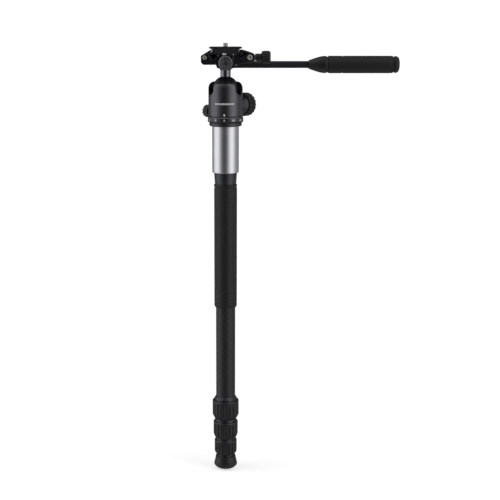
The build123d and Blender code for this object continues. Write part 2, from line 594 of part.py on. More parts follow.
with BuildPart() as plate_pads:
    with BuildSketch(Plane.XY.offset(PLATE_TOP - PAD_DEPTH)):
        with Locations((-11.5, 0), (11.5, 0)):
            RectangleRounded(10.96, 34.96, 1.98)
    extrude(amount=PAD_DEPTH)
save(plate_pads, "plate_pads")

with BuildPart() as plate_stop_screws:
    for y in (-15.5, 15.5):
        rod(1.2, (-8, y, PLATE_BOTTOM), (0, 0, 1), 3.9)
        rod(2.0, (-8, y, PLATE_BOTTOM - 1.3), (0, 0, 1), 1.3)
save(plate_stop_screws, "plate_stop_screws")

with BuildPart() as camera_screw:
    rod(CAMERA_NECK_RADIUS, (0, 0, 570), (0, 0, 1), PLATE_TOP - 569)
    rod(CAMERA_SCREW_RADIUS, (0, 0, PLATE_TOP + 0.1), (0, 0, 1), CAMERA_SCREW_TOP - PLATE_TOP - 0.1)
    chamfer(camera_screw.faces().sort_by(Axis.Z)[-1].edges(), length=0.5)
    rod(7.4, (0, 0, PLATE_BOTTOM + 0.6), (0, 0, 1), 3.6)
    with BuildSketch(Plane.XY.offset(PLATE_BOTTOM + 0.6)):
        Rectangle(12, 1.6)
    extrude(amount=1.6, mode=Mode.SUBTRACT)
save(camera_screw, "camera_screw")

# ---------------------------------------------------------------- pan handle
ARM_MIDDLE_Y = (ARM_FRONT + ARM_BACK) / 2
ARM_MIDDLE_Z = (ARM_BOTTOM + ARM_TOP) / 2
HANDLE_LINE = dict(origin=(0, ARM_MIDDLE_Y, ARM_MIDDLE_Z), direction=(1, 0, 0), side=(0, 0, 1))

with BuildPart() as handle_arm:
    with BuildSketch(Plane(origin=(0, ARM_MIDDLE_Y, ARM_MIDDLE_Z), x_dir=(0, 1, 0), z_dir=(1, 0, 0))):
        RectangleRounded(ARM_BACK - ARM_FRONT, ARM_TOP - ARM_BOTTOM, 1.0)
    extrude(amount=ARM_END)
    rod(HUB_RADIUS, (0, ARM_BACK, BOLT_HEIGHT), (0, -1, 0), ARM_BACK - ARM_FRONT)
    slab([(-20, 530), (10, 530), (10, ARM_BOTTOM), (-20, ARM_BOTTOM)], 20, 40, mode=Mode.SUBTRACT)
    rod(BOLT_RADIUS + RUNNING, (0, 40, BOLT_HEIGHT), (0, -1, 0), 20, mode=Mode.SUBTRACT)
save(handle_arm, "handle_arm")

with BuildPart() as handle_ferrule:
    turn([
        (CORE_RADIUS, FERRULE_START), (5.5, FERRULE_START), (6.4, FERRULE_START + 2.4),
        (8.4, FERRULE_START + 8.2), (9.9, FERRULE_START + 12.9), (10.7, FERRULE_START + 16.2),
        (11.1, FERRULE_START + 19.0), (11.3, FERRULE_START + 21.0), (11.3, FERRULE_START + 23.2),
        (10.5, FERRULE_START + 23.8), (10.5, GRIP_START - 0.05), (CORE_RADIUS, GRIP_START - 0.05),
    ], **HANDLE_LINE)
save(handle_ferrule, "handle_ferrule")

with BuildPart() as handle_grip:
    radius = HANDLE_RADIUS
    turn([
        (CORE_RADIUS, GRIP_START), (radius - 0.8, GRIP_START), (radius, GRIP_START + 0.8),
        (radius, GRIP_END - 0.8), (radius - 0.8, GRIP_END), (CORE_RADIUS, GRIP_END),
    ], **HANDLE_LINE)
save(handle_grip, "handle_grip")

with BuildPart() as handle_end_cap:
    plug = CORE_RADIUS - 0.1
    turn([
        (0, GRIP_END - 4), (plug, GRIP_END - 4), (plug, GRIP_END + 0.05), (10.2, GRIP_END + 0.05),
        (10.2, GRIP_END + 1.0), (11.1, GRIP_END + 1.6), (11.1, HANDLE_END), (0, HANDLE_END),
    ], **HANDLE_LINE)
    fillet(handle_end_cap.faces().sort_by(Axis.X)[-1].edges(), radius=5.0)
save(handle_end_cap, "handle_end_cap")

# The bolt runs through the hub and the arm's eye, with its disc at the front
DISC_BACK = HUB_FRONT - 0.3
BOLT_LINE = dict(origin=(0, DISC_BACK, BOLT_HEIGHT), direction=(0, -1, 0), side=(0, 0, 1))

with BuildPart() as handle_disc:
    bore = BOLT_RADIUS + 0.01
    turn([
        (bore, 0), (8.6, 0), (9.0, 0.4), (9.0, 5.4), (8.0, 6.4), (6.4, 6.4), (6.4, 3.0), (bore, 3.0),
    ], **BOLT_LINE)
save(handle_disc, "handle_disc")

with BuildPart() as handle_bolt:
    shank = ARM_BACK - DISC_BACK + 5.2
    turn([
        (0, -shank), (BOLT_RADIUS, -shank), (BOLT_RADIUS, 3.02), (6.35, 3.02), (6.35, 6.0),
        (5.4, 6.0), (4.9, 5.2), (0, 5.2),
    ], **BOLT_LINE)
    with BuildSketch(Plane(origin=(0, DISC_BACK - 5.2, BOLT_HEIGHT), z_dir=(0, -1, 0))):
        RegularPolygon(2.9, 6)
    extrude(amount=-2, mode=Mode.SUBTRACT)
save(handle_bolt, "handle_bolt")

with BuildPart() as handle_nut:
    with BuildSketch(Plane.XZ.offset(-ARM_BACK)):
        with Locations((0, BOLT_HEIGHT)):
            RegularPolygon(5.6, 6)
            Circle(BOLT_RADIUS + RUNNING, mode=Mode.SUBTRACT)
    extrude(amount=-4.4)
save(handle_nut, "handle_nut")
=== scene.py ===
"""Looks of a monopod with a ball head and a pan handle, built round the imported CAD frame.

Every piece is drawn in millimetres in the frame's own axes (Z up the leg, -Y the front, the handle
along +X) and goes to metres as its mesh is made. Places come from the CAD nodes' boxes.
"""

import bmesh
import bpy
from math import asin, cos, degrees, floor, hypot, pi, radians, sin, sqrt
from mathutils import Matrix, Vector


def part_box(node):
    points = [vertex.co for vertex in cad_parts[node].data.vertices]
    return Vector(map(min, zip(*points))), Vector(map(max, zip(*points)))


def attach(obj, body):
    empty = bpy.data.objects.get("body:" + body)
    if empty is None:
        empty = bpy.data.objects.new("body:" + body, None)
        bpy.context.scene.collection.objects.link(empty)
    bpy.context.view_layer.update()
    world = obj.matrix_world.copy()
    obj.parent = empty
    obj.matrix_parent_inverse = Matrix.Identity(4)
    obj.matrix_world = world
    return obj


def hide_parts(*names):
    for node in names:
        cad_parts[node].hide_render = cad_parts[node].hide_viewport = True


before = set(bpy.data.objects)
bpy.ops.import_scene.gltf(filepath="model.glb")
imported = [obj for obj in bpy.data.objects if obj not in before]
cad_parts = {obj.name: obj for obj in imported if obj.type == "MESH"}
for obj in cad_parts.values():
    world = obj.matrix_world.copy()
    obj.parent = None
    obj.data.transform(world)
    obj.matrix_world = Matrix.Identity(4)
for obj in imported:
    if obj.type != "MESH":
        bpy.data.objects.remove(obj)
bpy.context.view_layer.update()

MM = 0.001
FRONT, RIGHT, UP = Vector((0, -1, 0)), Vector((1, 0, 0)), Vector((0, 0, 1))
PAINT = 0.05  # how far printed marks stand off the surface
SNUG = 0.02  # how far a sleeve's bore stands off the tube in it
BEVEL_ANGLE = radians(32)  # sharper edges are rounded off

# Shapes that the boxes of the CAD nodes don't give
TUBE_WALL = 1.0
LOCK_TAPER = (6.2, 5.8, 4.7)
LOCK_END = (15.0, 14.4, 12.6)
LOCK_RIM, LOCK_COVER, LOCK_THREAD = 1.8, 1.3, 1.6
FOOT_STUD, FOOT_HOLLOW = 4.78, 9.1
LOCK_RIBS, FOOT_RIBS, MAIN_RIBS, PAN_RIBS, CLAMP_RIBS = 20, 26, 18, 12, 16
HOUSING_YAW, HOUSING_RADIUS = -4.3, 22.4
NOTCH_ANGLE, NOTCH_RADIUS = 60.7, 7.7
STEM_RADIUS, HANDLE_BORE = 6.7, 4.95
BALL_HEIGHT, MAIN_HEIGHT, PAN_HEIGHT = 520.9, 499.2, 490.6
MAIN_AZIMUTH, PAN_AZIMUTH = 140.0, -140.0
BOLT_HEIGHT, SCREW_HEIGHT = 554.8, 561.5
POCKET_FLOOR = 17.0  # from the middle of the clamp to the front and back pockets' floors
BODY_POCKET = ((-22.8, 567.4), (-21.0, 567.4), (-21.0, 565.0), (-11.6, 565.0), (-12.4, 562.0),
               (-14.0, 559.2), (-17.6, 559.2))
JAW_POCKET = ((14.4, 565.0), (14.4, 564.2), (19.9, 561.2), (27.2, 564.8), (28.4, 566.8),
              (26.0, 567.9), (21.6, 567.9), (21.6, 565.0))


# ---------------------------------------------------------------- places
def span(node):
    """A CAD node's lowest and highest corner in millimetres."""
    low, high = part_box(node)
    return low / MM, high / MM


def outward(azimuth):
    """The level direction at an azimuth in degrees, counted from the front towards +X."""
    return Vector((sin(radians(azimuth)), -cos(radians(azimuth)), 0))


LEG_LINE = (Vector((0, 0, 0)), UP, FRONT)
MAIN_LINE = (Vector((0, 0, MAIN_HEIGHT)), outward(MAIN_AZIMUTH), UP)
PAN_LINE = (Vector((0, 0, PAN_HEIGHT)), outward(PAN_AZIMUTH), UP)
CLAMP_LINE = (Vector((0, 0, SCREW_HEIGHT)), RIGHT, UP)
BOLT_LINE = (Vector((0, 0, BOLT_HEIGHT)), FRONT, UP)
PIN_LINE = (Vector((13.7, 0, 551.0)), FRONT, UP)


def handle_line():
    """The handle's own axis, from the box of its grip."""
    low, high = span("handle_grip")
    return Vector((0, (low.y + high.y) / 2, (low.z + high.z) / 2)), RIGHT, UP


# ---------------------------------------------------------------- outlines
def soften(points, amount, closed=True, steps=3):
    """Round each corner of an outline by up to amount, keeping clear of its neighbours."""
    made, count = [], len(points)
    for i, point in enumerate(points):
        if not closed and i in (0, count - 1):
            made.append(point)
            continue
        here = Vector(point)
        before, after = Vector(points[i - 1]) - here, Vector(points[(i + 1) % count]) - here
        cut = min(amount, 0.45 * before.length, 0.45 * after.length)
        start, end = here + before.normalized() * cut, here + after.normalized() * cut
        for step in range(steps + 1):
            t = step / steps
            made.append(tuple(start * (1 - t) ** 2 + here * 2 * t * (1 - t) + end * t**2))
    return made


def divide(points, longest, closed=True):
    """Split an outline's long sides, so that a relief can bend them."""
    made, count = [], len(points)
    for i, point in enumerate(points):
        made.append(point)
        if i == count - 1 and not closed:
            break
        here, after = Vector(point), Vector(points[(i + 1) % count])
        parts = max(1, int((after - here).length / longest))
        made += [tuple(here.lerp(after, part / parts)) for part in range(1, parts)]
    return made


def arc(centre, radius, start, end, steps):
    """Points (radius, distance) on an arc, with angles in degrees from level."""
    angles = [radians(start + (end - start) * i / steps) for i in range(steps + 1)]
    return [(centre[0] + radius * cos(a), centre[1] + radius * sin(a)) for a in angles]


def smooth(x, low, high):
    """0 below low, 1 above high and an even curve between."""
    t = min(1.0, max(0.0, (x - low) / (high - low)))
    return t * t * (3 - 2 * t)


# ---------------------------------------------------------------- making pieces
def mesh_object(name, vertices, faces, sharp):
    """A smooth-shaded object from millimetre points, with edges over the sharp angle kept."""
    mesh = bpy.data.meshes.new(name)
    mesh.from_pydata([tuple(Vector(v) * MM) for v in vertices], [], faces)
    shape = bmesh.new()
    shape.from_mesh(mesh)
    bmesh.ops.remove_doubles(shape, verts=shape.verts, dist=1e-7)
    bmesh.ops.dissolve_degenerate(shape, edges=shape.edges, dist=1e-8)
    bmesh.ops.recalc_face_normals(shape, faces=shape.faces)
    shape.to_mesh(mesh)
    shape.free()
    mesh.shade_smooth()
    mesh.set_sharp_from_angle(angle=radians(sharp))
    made = bpy.data.objects.new(name, mesh)
    bpy.context.scene.collection.objects.link(made)
    return made


def lathe(name, outline, line=LEG_LINE, sides=96, shape=None, closed=True, sharp=42):
    """Turn an outline of (radius, distance) points about a line. shape(turn, distance, radius)
    gives the radius where the surface isn't round."""
    origin, along, zero = line
    quarter = along.cross(zero)
    vertices, faces, rows = [], [], len(outline)
    for radius, distance in outline:
        for side in range(sides):
            turn = 2 * pi * side / sides
            r = shape(turn, distance, radius) if shape and radius > 0 else radius
            vertices.append(origin + along * distance + (zero * cos(turn) + quarter * sin(turn)) * r)
    for row in range(rows if closed else rows - 1):
        after = (row + 1) % rows
        for side in range(sides):
            beside = (side + 1) % sides
            faces.append((row * sides + side, row * sides + beside,
                          after * sides + beside, after * sides + side))
    return mesh_object(name, vertices, faces, sharp)


def cad_copy(node, name, width):
    """A copy of a CAD node's shape, with clean faces and its sharp edges rounded off where the
    faces beside them have room for it."""
    shape = bmesh.new()
    shape.from_mesh(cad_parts[node].data)
    bmesh.ops.remove_doubles(shape, verts=shape.verts, dist=2e-6)
    bmesh.ops.dissolve_limit(shape, angle_limit=radians(1.5), verts=shape.verts, edges=shape.edges)
    weight = shape.edges.layers.float.new("bevel_weight_edge")
    for edge in shape.edges:
        if edge.is_convex and edge.calc_face_angle(0) > BEVEL_ANGLE:
            length = edge.calc_length()
            room = min(length, *(face.calc_area() / length for face in edge.link_faces))
            edge[weight] = 1.0 if room > 2.4 * width * MM else 0.0
    mesh = bpy.data.meshes.new(name)
    shape.to_mesh(mesh)
    shape.free()
    made = bpy.data.objects.new(name, mesh)
    bpy.context.scene.collection.objects.link(made)
    mesh.shade_smooth()
    mesh.set_sharp_from_angle(angle=radians(40))
    round_edges(made, width, "WEIGHT")
    return made


def round_edges(piece, width, limit="ANGLE"):
    """Bevel the sharp edges and keep the flat faces flat."""
    bevel = piece.modifiers.new("rounded_edges", "BEVEL")
    bevel.limit_method, bevel.angle_limit = limit, BEVEL_ANGLE
    bevel.width, bevel.segments = width * MM, 3
    bevel.use_clamp_overlap = False
    flat = piece.modifiers.new("flat_faces", "WEIGHTED_NORMAL")
    flat.keep_sharp = True
    flat.mode, flat.weight = "FACE_AREA", 50


def prism_faces(count):
    """The faces of a prism whose two ends have count corners each."""
    faces = [tuple(range(count)), tuple(range(2 * count - 1, count - 1, -1))]
    faces += [(i, (i + 1) % count, count + (i + 1) % count, count + i) for i in range(count)]
    return faces


def ribs(count, depth, low, high, ease=0.8, limit=0.0, narrow=1.0):
    """A relief of count round-bottomed grooves between two distances, on radii above limit."""
    def shape(turn, distance, radius):
        if radius < limit:
            return radius
        wave = max(0.0, cos(count * turn)) ** narrow
        ends = smooth(distance, low, low + ease) * (1 - smooth(distance, high - ease, high))
        return radius - depth * wave * ends
    return shape


def finish_piece(piece, body, slot, material, *nodes):
    """Give a piece its material, its body and the CAD nodes that it stands for; the slot argument is not
    used.
    """
    piece.data.materials.clear()
    piece.data.materials.append(material)
    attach(piece, body)
    if nodes:
        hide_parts(*nodes)
    return piece


def printed(name, outlines, body, looks):
    """Flat white marks, one face to each outline."""
    vertices, faces = [], []
    for outline in outlines:
        faces.append(tuple(range(len(vertices), len(vertices) + len(outline))))
        vertices += outline
    marks = mesh_object(name, vertices, faces, 80)
    finish_piece(marks, body, "white_plastic", looks["print"])


# ---------------------------------------------------------------- materials
class Graph:
    """A material's node tree with a short way to add and join nodes."""

    def __init__(self, name):
        self.material = bpy.data.materials.new(name)
        self.material.use_nodes = True
        self.nodes, self.links = self.material.node_tree.nodes, self.material.node_tree.links
        self.shader = self.nodes["Principled BSDF"]
        self.place = self.add("ShaderNodeTexCoord").outputs["Object"]

    def add(self, kind, inputs=None, **settings):
        node = self.nodes.new(kind)
        for key, value in settings.items():
            setattr(node, key, value)
        for key, value in (inputs or {}).items():
            if isinstance(value, bpy.types.NodeSocket):
                self.links.new(value, node.inputs[key])
            else:
                node.inputs[key].default_value = value
        return node

    def math(self, operation, *values):
        inputs = {i: value for i, value in enumerate(values)}
        return self.add("ShaderNodeMath", inputs, operation=operation).outputs[0]

    def noise(self, size, detail=2.0, rough=0.55):
        """Noise whose blobs are about size millimetres across."""
        inputs = {"Vector": self.place, "Scale": 1 / (size * MM), "Detail": detail, "Roughness": rough}
        return self.add("ShaderNodeTexNoise", inputs).outputs["Fac"]

    def between(self, factor, low, high):
        inputs = {"Value": factor, "From Min": 0.25, "From Max": 0.75, "To Min": low, "To Max": high}
        return self.add("ShaderNodeMapRange", inputs).outputs["Result"]

    def tint(self, factor, first, second):
        """A colour between two, by a factor."""
        ramp = self.add("ShaderNodeValToRGB", {"Fac": factor})
        ramp.color_ramp.elements[0].position, ramp.color_ramp.elements[1].position = 0.3, 0.7
        ramp.color_ramp.elements[0].color = (*first, 1)
        ramp.color_ramp.elements[1].color = (*second, 1)
        return ramp.outputs["Color"]

    def relief(self, height, strength, depth):
        inputs = {"Height": height, "Strength": strength, "Distance": depth * MM}
        bump = self.add("ShaderNodeBump", inputs)
        self.links.new(bump.outputs["Normal"], self.shader.inputs["Normal"])

    def set(self, **values):
        for key, value in values.items():
            socket = self.shader.inputs[key.replace("_", " ")]
            if isinstance(value, bpy.types.NodeSocket):
                self.links.new(value, socket)
            else:
                socket.default_value = value


def scaled(colour, factor):
    return tuple(min(1.0, part * factor) for part in colour)


def grained(name, colour, roughness, grain, bump, mottle=0.15, cloud=9.0, **fixed):
    """A surface with a fine grain and slow changes of tone and gloss."""
    graph = Graph(name)
    broad, fine = graph.noise(cloud, 3.0), graph.noise(grain, 2.0)
    mixed = graph.math("ADD", graph.math("MULTIPLY", broad, 0.6), graph.math("MULTIPLY", fine, 0.4))
    graph.set(
        Base_Color=graph.tint(mixed, scaled(colour, 1 - mottle), scaled(colour, 1 + mottle)),
        Roughness=graph.between(mixed, roughness * 0.9, roughness * 1.1),
        **fixed,
    )
    graph.relief(fine, bump, grain * 0.35)
    return graph.material


def rubber_material():
    return grained("soft_rubber", (0.009, 0.009, 0.0095), 0.48, 0.35, 0.3, mottle=0.22, cloud=14)


def foam_material():
    """The grips' closed-cell rubber, a little darker and drier than the lock covers."""
    return grained("grip_rubber", (0.007, 0.0073, 0.0085), 0.55, 0.42, 0.3, mottle=0.2, cloud=18)


def blasted_material():
    """Black anodised aluminium, bead-blasted."""
    return grained("blasted_black", (0.07, 0.071, 0.078), 0.38, 0.16, 0.18, mottle=0.1, cloud=12,
                   Metallic=0.9)


def housing_material():
    return grained("housing_black", (0.115, 0.117, 0.128), 0.33, 0.15, 0.16, mottle=0.08, cloud=16,
                   Metallic=0.95)


def milled_material():
    """The clamp's and the jaw's glossier anodising."""
    return grained("milled_black", (0.07, 0.071, 0.079), 0.23, 0.14, 0.12, mottle=0.12, cloud=10,
                   Metallic=0.9)


def pocket_shade_material():
    """Painted shade: a near-black colour that stands in for the shadow on the clamp's pocket floors."""
    return grained("painted_pocket_shade", (0.006, 0.006, 0.0075), 0.6, 0.2, 0.15, mottle=0.15, cloud=6)


def cap_material():
    """The cap screws' pale yellowish plating."""
    return grained("cap_plating", (0.5, 0.49, 0.43), 0.36, 0.25, 0.12, mottle=0.07, cloud=3,
                   Metallic=0.35)


def satin_material():
    """Satin silver aluminium with fine turning marks round the leg's axis."""
    graph = Graph("satin_silver")
    squeeze = graph.add("ShaderNodeMapping", {"Vector": graph.place, "Scale": (0.05, 0.05, 1.0)})
    marks = graph.add("ShaderNodeTexNoise", {
        "Vector": squeeze.outputs["Vector"], "Scale": 4000.0, "Detail": 2.0}).outputs["Fac"]
    cloud = graph.noise(14, 2.0)
    graph.set(
        Base_Color=graph.tint(cloud, (0.69, 0.698, 0.72), (0.72, 0.728, 0.75)),
        Roughness=graph.between(cloud, 0.31, 0.34),
        Metallic=1.0,
    )
    graph.relief(marks, 0.015, 0.02)
    return graph.material


def steel_material(name, colour, roughness):
    """Bright machined steel with faint smears."""
    graph = Graph(name)
    smear, fine = graph.noise(3.0, 4.0), graph.noise(0.2)
    graph.set(
        Base_Color=graph.tint(smear, scaled(colour, 0.93), scaled(colour, 1.05)),
        Roughness=graph.between(smear, roughness * 0.7, roughness * 1.4),
        Metallic=1.0,
    )
    graph.relief(fine, 0.05, 0.02)
    return graph.material


def carbon_material():
    """Clear-coated twill: diagonal steps of tow round and along the tube."""
    tow = 2.2
    graph = Graph("carbon_twill")
    split = graph.add("ShaderNodeSeparateXYZ", {"Vector": graph.place})
    x, y, z = (split.outputs[axis] for axis in "XYZ")
    turn = graph.math("ARCTAN2", x, graph.math("MULTIPLY", y, -1.0))
    across = graph.math("MULTIPLY", turn, 36 / (2 * pi))
    along = graph.math("DIVIDE", z, tow * MM)
    step = graph.math("ADD", graph.math("FLOOR", across), graph.math("FLOOR", along))
    warp = graph.math("LESS_THAN", graph.math("FLOORED_MODULO", step, 4.0), 1.5)
    sway = graph.math("PINGPONG", across, 0.5)
    rise = graph.math("PINGPONG", along, 0.5)
    crown = graph.math("ADD", graph.math("MULTIPLY", warp, sway),
                       graph.math("MULTIPLY", graph.math("SUBTRACT", 1.0, warp), rise))
    fibre = graph.math("ADD", graph.math("MULTIPLY", warp, 0.35),
                       graph.math("MULTIPLY", graph.noise(0.9), 0.5))
    graph.set(
        Base_Color=graph.tint(fibre, (0.009, 0.009, 0.009), (0.016, 0.0155, 0.015)),
        Roughness=graph.between(graph.noise(6), 0.5, 0.56),
        Coat_Weight=0.15,
        Coat_Roughness=0.4,
    )
    graph.relief(crown, 0.05, 0.05)
    return graph.material


def plastic_material(name, colour, roughness):
    return grained(name, colour, roughness, 0.3, 0.12, mottle=0.08, cloud=8)


def paint_material():
    return grained("white_print", (0.86, 0.86, 0.84), 0.5, 0.12, 0.1, mottle=0.05, cloud=2)


# ---------------------------------------------------------------- leg
def leg_tube(number, body, carbon):
    """A carbon tube with softly turned rims."""
    node = f"leg_tube_{number}"
    low, high = span(node)
    outer = high.x
    inner = outer - TUBE_WALL
    ring = [(inner, low.z), (outer, low.z), (outer, high.z), (inner, high.z)]
    tube = lathe(f"{node}_carbon", soften(ring, 0.3), sides=128)
    finish_piece(tube, body, "carbon", carbon, node)


def twist_lock(number, leg_body, looks):
    """The lock's shoulder, its bare ring and its ribbed rubber cover."""
    taper, end = LOCK_TAPER[number - 1], LOCK_END[number - 1]
    ring_low, ring_high = span(f"lock_ring_{number}")
    sleeve_low, sleeve_high = span(f"lock_sleeve_{number}")
    tube = span(f"leg_tube_{number}")[1].x
    inner = span(f"leg_tube_{number + 1}")[1].x
    thread, shoulder = tube + LOCK_THREAD, sleeve_high.x
    bottom, top, radius = ring_low.z, ring_high.z, span(f"lock_cover_{number}")[1].x
    full, core = bottom + taper, radius - LOCK_COVER
    inset, drop = (2.1, 3.3) if number == 1 else (0.5, 0.5)

    sleeve = lathe(f"lock_shoulder_{number}", soften([
        (tube, sleeve_low.z), (thread, sleeve_low.z), (thread, top - 1.0), (shoulder, top - 1.0),
        (shoulder, sleeve_high.z - drop), (shoulder - inset, sleeve_high.z), (tube, sleeve_high.z),
    ], 0.35))
    finish_piece(sleeve, leg_body, "black_metal", looks["black_metal"], f"lock_sleeve_{number}")

    rim, mouth = radius - 0.1, shoulder + 0.8
    ring = lathe(f"lock_metal_{number}", soften([
        (inner + 0.4, bottom), (end - 1.2, bottom), (core, full), (core, top - LOCK_RIM),
        (rim, top - LOCK_RIM), (rim, top - 0.8), (rim - 0.8, top), (mouth, top),
        (mouth, top - 1.3), (thread + 0.05, top - 1.3), (thread + 0.05, bottom + 5.8),
        (inner + 1.8, bottom + 2.3), (inner + 0.4, bottom + 2.3),
    ], 0.2))
    finish_piece(ring, f"twist_lock_{number}", "black_metal", looks["black_metal"],
                 f"lock_ring_{number}")

    band = soften([
        (end - 1.2, bottom), (end - 0.3, bottom), (end, bottom + 0.4), (radius - 0.8, full - 1.9),
        (radius, full), (radius, top - LOCK_RIM), (core, top - LOCK_RIM), (core, full),
    ], 0.5)
    relief = ribs(LOCK_RIBS, 1.15, bottom + 2.0, top - LOCK_RIM - 0.7, ease=1.6,
                  limit=core + 0.15, narrow=1.2)
    cover = lathe(f"lock_grip_{number}", divide(band, 1.0), sides=LOCK_RIBS * 14, shape=relief)
    finish_piece(cover, f"twist_lock_{number}", "rubber", looks["rubber"], f"lock_cover_{number}")


def foot(looks):
    """The flared rubber foot with short ribs round its lower edge."""
    high = span("foot_rubber")[1]
    wide, top = high.x, high.z
    curve = [(0, 0), (4.0, 0), (6.6, 0.25), (9.2, 0.9), (11.6, 2.0), (13.6, 3.5), (15.0, 5.0),
             (wide - 0.15, 6.0), (wide, 7.3), (15.1, 10.2), (14.1, 15.2), (13.5, top - 0.6),
             (12.9, top), (FOOT_STUD, top), (FOOT_STUD, FOOT_HOLLOW), (0, FOOT_HOLLOW)]
    outline = divide(soften(curve, 0.5, closed=False), 0.6, closed=False)

    def shape(turn, distance, radius):
        if radius < 9:
            return radius
        ends = smooth(distance, 0.7, 2.6) * (1 - smooth(distance, 8.2, 10.4))
        return radius - 0.55 * max(0.0, cos(FOOT_RIBS * turn)) ** 1.5 * ends

    rubber = lathe("foot_ribbed", outline, sides=FOOT_RIBS * 12, shape=shape, closed=False)
    finish_piece(rubber, "foot_section", "rubber", looks["rubber"], "foot_rubber")


# ---------------------------------------------------------------- hand grip
GRIP_SKIN = 14.4  # the relief leaves smaller radii as they are
# Frames on the unrolled grip: left, right, bottom, top and corner radius
OUTER_FRAME = (-17.4, 17.4, 240.5, 378.5, 5.5)
INNER_FRAME = (-13.3, 9.6, 253.5, 373.0, 3.5)
CROSS_LINE, CROSS_REACH = 250.0, 17.0
PIPS_LOW, PIPS_HIGH, PIP_PITCH, PIP_MIDDLE = 276.0, 350.0, 6.2, 1.0


def frame_distance(x, z, left, right, bottom, top, corner):
    """Distance from a rounded rectangle's edge, negative inside it."""
    dx = abs(x - (left + right) / 2) - (right - left) / 2 + corner
    dz = abs(z - (bottom + top) / 2) - (top - bottom) / 2 + corner
    return hypot(max(dx, 0), max(dz, 0)) + min(max(dx, dz), 0) - corner


def groove(distance, width):
    """1 on a line, falling to 0 at half the width."""
    return 1 - smooth(abs(distance), width * 0.18, width * 0.5)


def panel_cut(around, height):
    """How deep a panel's frames, cross line and sunk middle lie at a point of the unrolled grip."""
    outer = frame_distance(around, height, *OUTER_FRAME)
    inner = frame_distance(around, height, *INNER_FRAME)
    line = abs(height - CROSS_LINE) if abs(around) < CROSS_REACH else 9
    sunk = 0.16 * smooth(-inner, 0.6, 1.6)
    return max(sunk, 0.45 * groove(outer, 1.4), 0.38 * groove(inner, 1.3), 0.4 * groove(line, 1.2))


def pips(x, height):
    """How far a plain column of small chevrons fills the sunk panel."""
    if not PIPS_LOW < height < PIPS_HIGH:
        return 0.0
    step = (height - PIPS_LOW) / PIP_PITCH
    middle = PIPS_LOW + (floor(step) + 0.5) * PIP_PITCH
    aside = abs(x - PIP_MIDDLE)
    arm = abs(height - middle - 0.55 * aside + 1.1)
    across = 1 - smooth(aside, 3.3, 4.1)
    return 0.4 * (1 - smooth(arm, 0.55, 1.0)) * across


def grip_relief(turn, height, radius):
    """The two framed panels, at the front and the back, and the front one's chevrons."""
    if radius < GRIP_SKIN:
        return radius
    wrapped = turn if turn <= pi else turn - 2 * pi
    front = wrapped * radius
    back = (abs(wrapped) - pi) * radius * (1 if front < 0 else -1)
    return radius - max(panel_cut(front, height) - pips(front, height), panel_cut(back, height))


def hand_grip(looks):
    """The rubber sleeve, with a relief drawn into its surface."""
    low, high = span("grip_sleeve")
    inside, body = span("leg_tube_1")[1].x + SNUG, high.x - 0.1
    bottom, top = low.z, high.z
    curve = soften([
        (inside, bottom), (body - 0.5, bottom), (body - 0.5, bottom + 1.6), (body + 0.1, bottom + 2.2),
        (body + 0.1, bottom + 4.4), (body - 0.5, bottom + 5.0), (body - 0.5, bottom + 5.9),
        (body, bottom + 6.6), (body, top - 5.3), (body - 0.6, top - 4.8), (body - 0.6, top - 3.7),
        (body + 0.1, top - 3.1), (body + 0.1, top - 1.0), (body - 0.6, top), (inside, top),
    ], 0.35, steps=2)
    outline = [point for i, point in enumerate(divide(curve, 0.5))
               if point[0] > inside + 0.2 or i % 12 == 0]
    sleeve = lathe("grip_sleeve_relief", outline, sides=240, shape=grip_relief, sharp=60)
    finish_piece(sleeve, "leg_section_1", "rubber", looks["grip"], "grip_sleeve")


def neck_and_collar(looks):
    """The dark tapered neck and the silver collar above it."""
    low, high = span("neck_cone")
    inside = span("leg_tube_1")[1].x + SNUG
    neck = lathe("neck_taper", soften([
        (inside, low.z), (14.15, low.z), (high.x, high.z - 0.2), (high.x, high.z), (inside, high.z),
    ], 0.25), sides=128)
    finish_piece(neck, "leg_section_1", "black_metal", looks["black_metal"], "neck_cone")

    low, high = span("silver_collar")
    radius = high.x
    collar = lathe("collar_silver", soften([
        (radius - 1.6, low.z), (radius - 0.45, low.z), (radius, low.z + 0.45),
        (radius, high.z - 0.35), (radius - 0.35, high.z), (radius - 1.6, high.z),
    ], 0.2), sides=160)
    finish_piece(collar, "leg_section_1", "silver_metal", looks["silver_metal"], "silver_collar")


# ---------------------------------------------------------------- pan base and scale
def pan_base(looks):
    low, high = span("pan_base")
    radius, base, seat, spigot = high.x, low.z, 20.2, 12.0
    ring_low, ring_high = span("pan_scale_ring")
    wide, scale_low, scale_high = ring_high.x, ring_low.z, ring_high.z
    turned = lathe("pan_base_turned", soften([
        (0, base + 0.3), (4.8, base), (radius - 0.7, base), (radius, base + 0.7),
        (radius, scale_low - 0.6), (radius - 0.4, scale_low - 0.3), (seat, scale_low - 0.3),
        (seat, scale_high), (spigot, scale_high), (spigot, high.z - 0.5), (spigot - 0.5, high.z),
        (0, high.z),
    ], 0.25, closed=False), sides=128, closed=False)
    finish_piece(turned, "leg_section_1", "black_metal", looks["black_metal"], "pan_base")

    curve = [
        (seat + SNUG, scale_low), (wide - 0.75, scale_low), (wide, scale_low + 1.6),
        (wide, scale_low + 2.5), (wide - 0.55, scale_high - 0.3), (wide - 0.85, scale_high),
        (seat + SNUG, scale_high),
    ]
    ring = lathe("scale_ring_turned", soften(curve, 0.25), sides=160)
    finish_piece(ring, "leg_section_1", "black_metal", looks["black_metal"], "pan_scale_ring")
    scale_marks(wide, scale_low, scale_high, looks)


